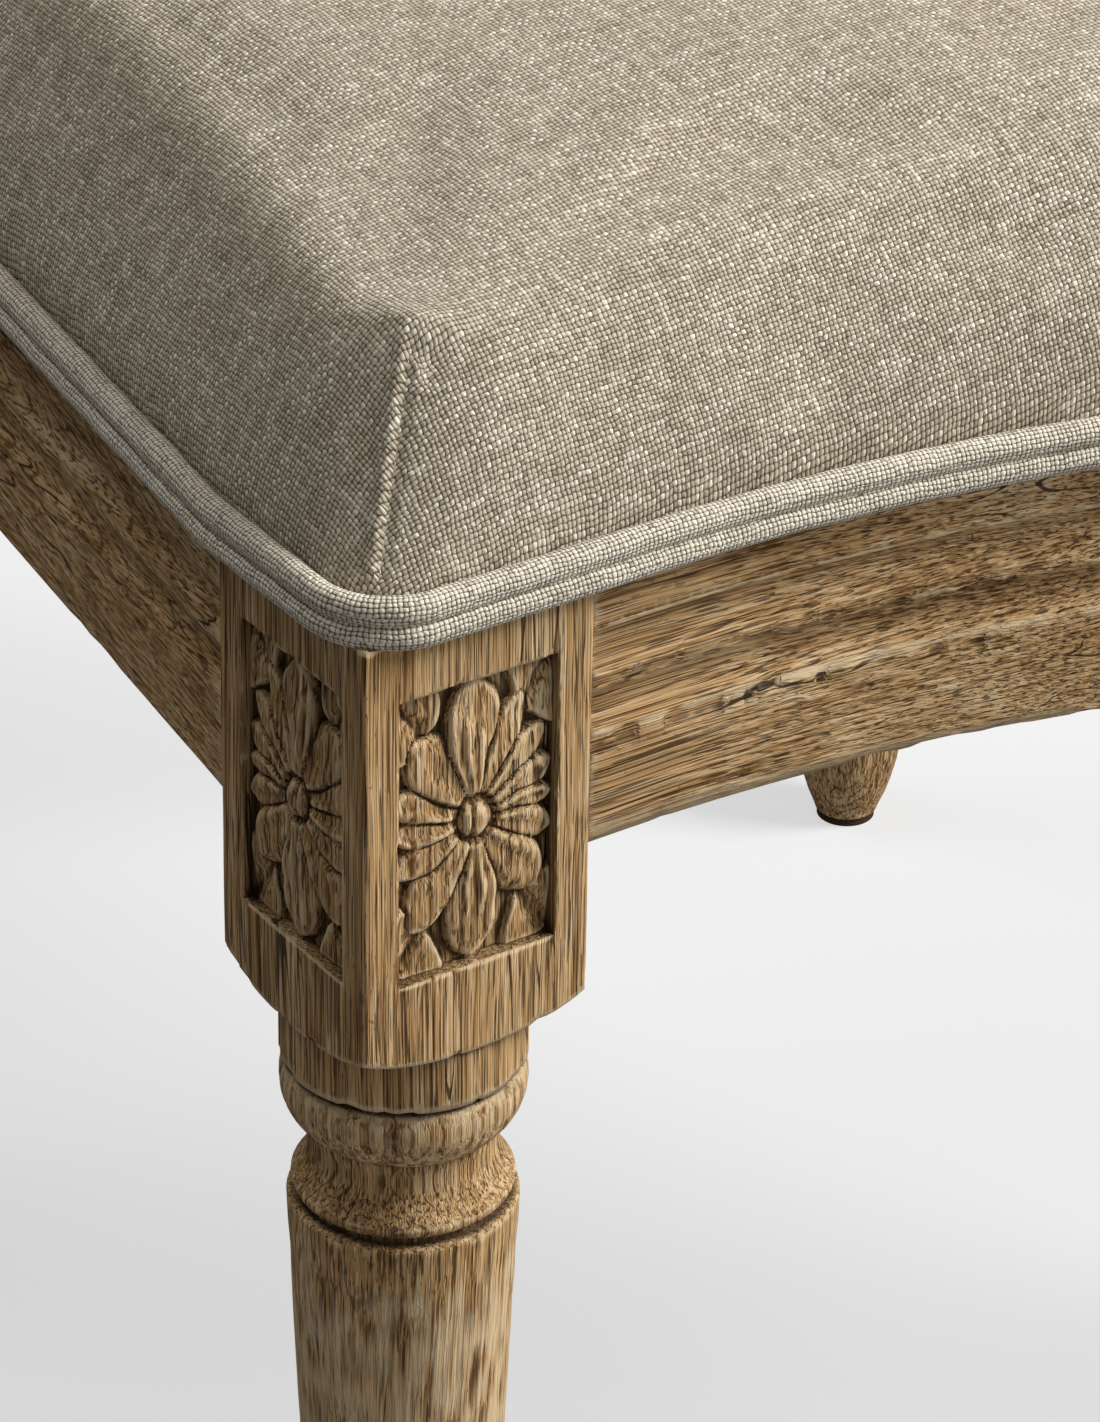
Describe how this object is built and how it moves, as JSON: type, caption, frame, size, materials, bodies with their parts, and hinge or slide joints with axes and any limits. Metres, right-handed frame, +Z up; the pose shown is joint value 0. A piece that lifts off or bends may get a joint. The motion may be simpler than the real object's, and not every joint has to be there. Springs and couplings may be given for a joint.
{
  "type": "dining chair",
  "caption": "Wooden dining chair with carved leg blocks, turned tapered legs, moulded rails, a bowed front, a crowned linen seat with double welt and a raked oval upholstered back.",
  "frame": {"origin": "on the floor under the middle of the chair's box", "axes": "+Z up, the front faces -Y, +X to the right of someone looking at the front"},
  "size_m": [0.5282, 0.5622, 0.9867],
  "materials": {
    "oak": "brushed and weathered oak with pale worn edges",
    "beech": "plain unfinished beech",
    "linen": "plain-weave natural linen",
    "jute": "woven jute webbing",
    "hessian": "open plain-weave hessian",
    "foam": "matt polyurethane foam",
    "cambric": "matt black non-woven cloth",
    "board": "matt fibreboard",
    "screw_steel": "zinc-plated steel",
    "felt": "pressed brown felt"
  },
  "bodies": {
    "root": {"front_leg_left": "oak", "front_leg_right": "oak", "rear_leg_left": "oak", "rear_leg_right": "oak", "front_rail": "oak", "side_rail_left": "oak", "side_rail_right": "oak", "back_rail": "oak", "rosettes": "oak", "back_frame_top": "oak", "back_frame_bottom": "oak", "back_frame_left": "oak", "back_frame_right": "oak", "corner_block_front_left": "beech", "corner_block_front_right": "beech", "corner_block_rear_left": "beech", "corner_block_rear_right": "beech", "back_dowels": "beech", "seat_cover": "linen", "seat_welt": "linen", "seat_rear_welt": "linen", "back_cover": "linen", "back_front_welt": "linen", "outside_back_cover": "linen", "back_rear_welt": "linen", "seat_webbing_lengthwise": "jute", "seat_webbing_crosswise": "jute", "seat_hessian": "hessian", "back_hessian": "hessian", "seat_foam": "foam", "back_foam": "foam", "dust_cover": "cambric", "outside_back_panel": "board", "corner_screws": "screw_steel", "glides": "felt"}
  },
  "joints": []
}
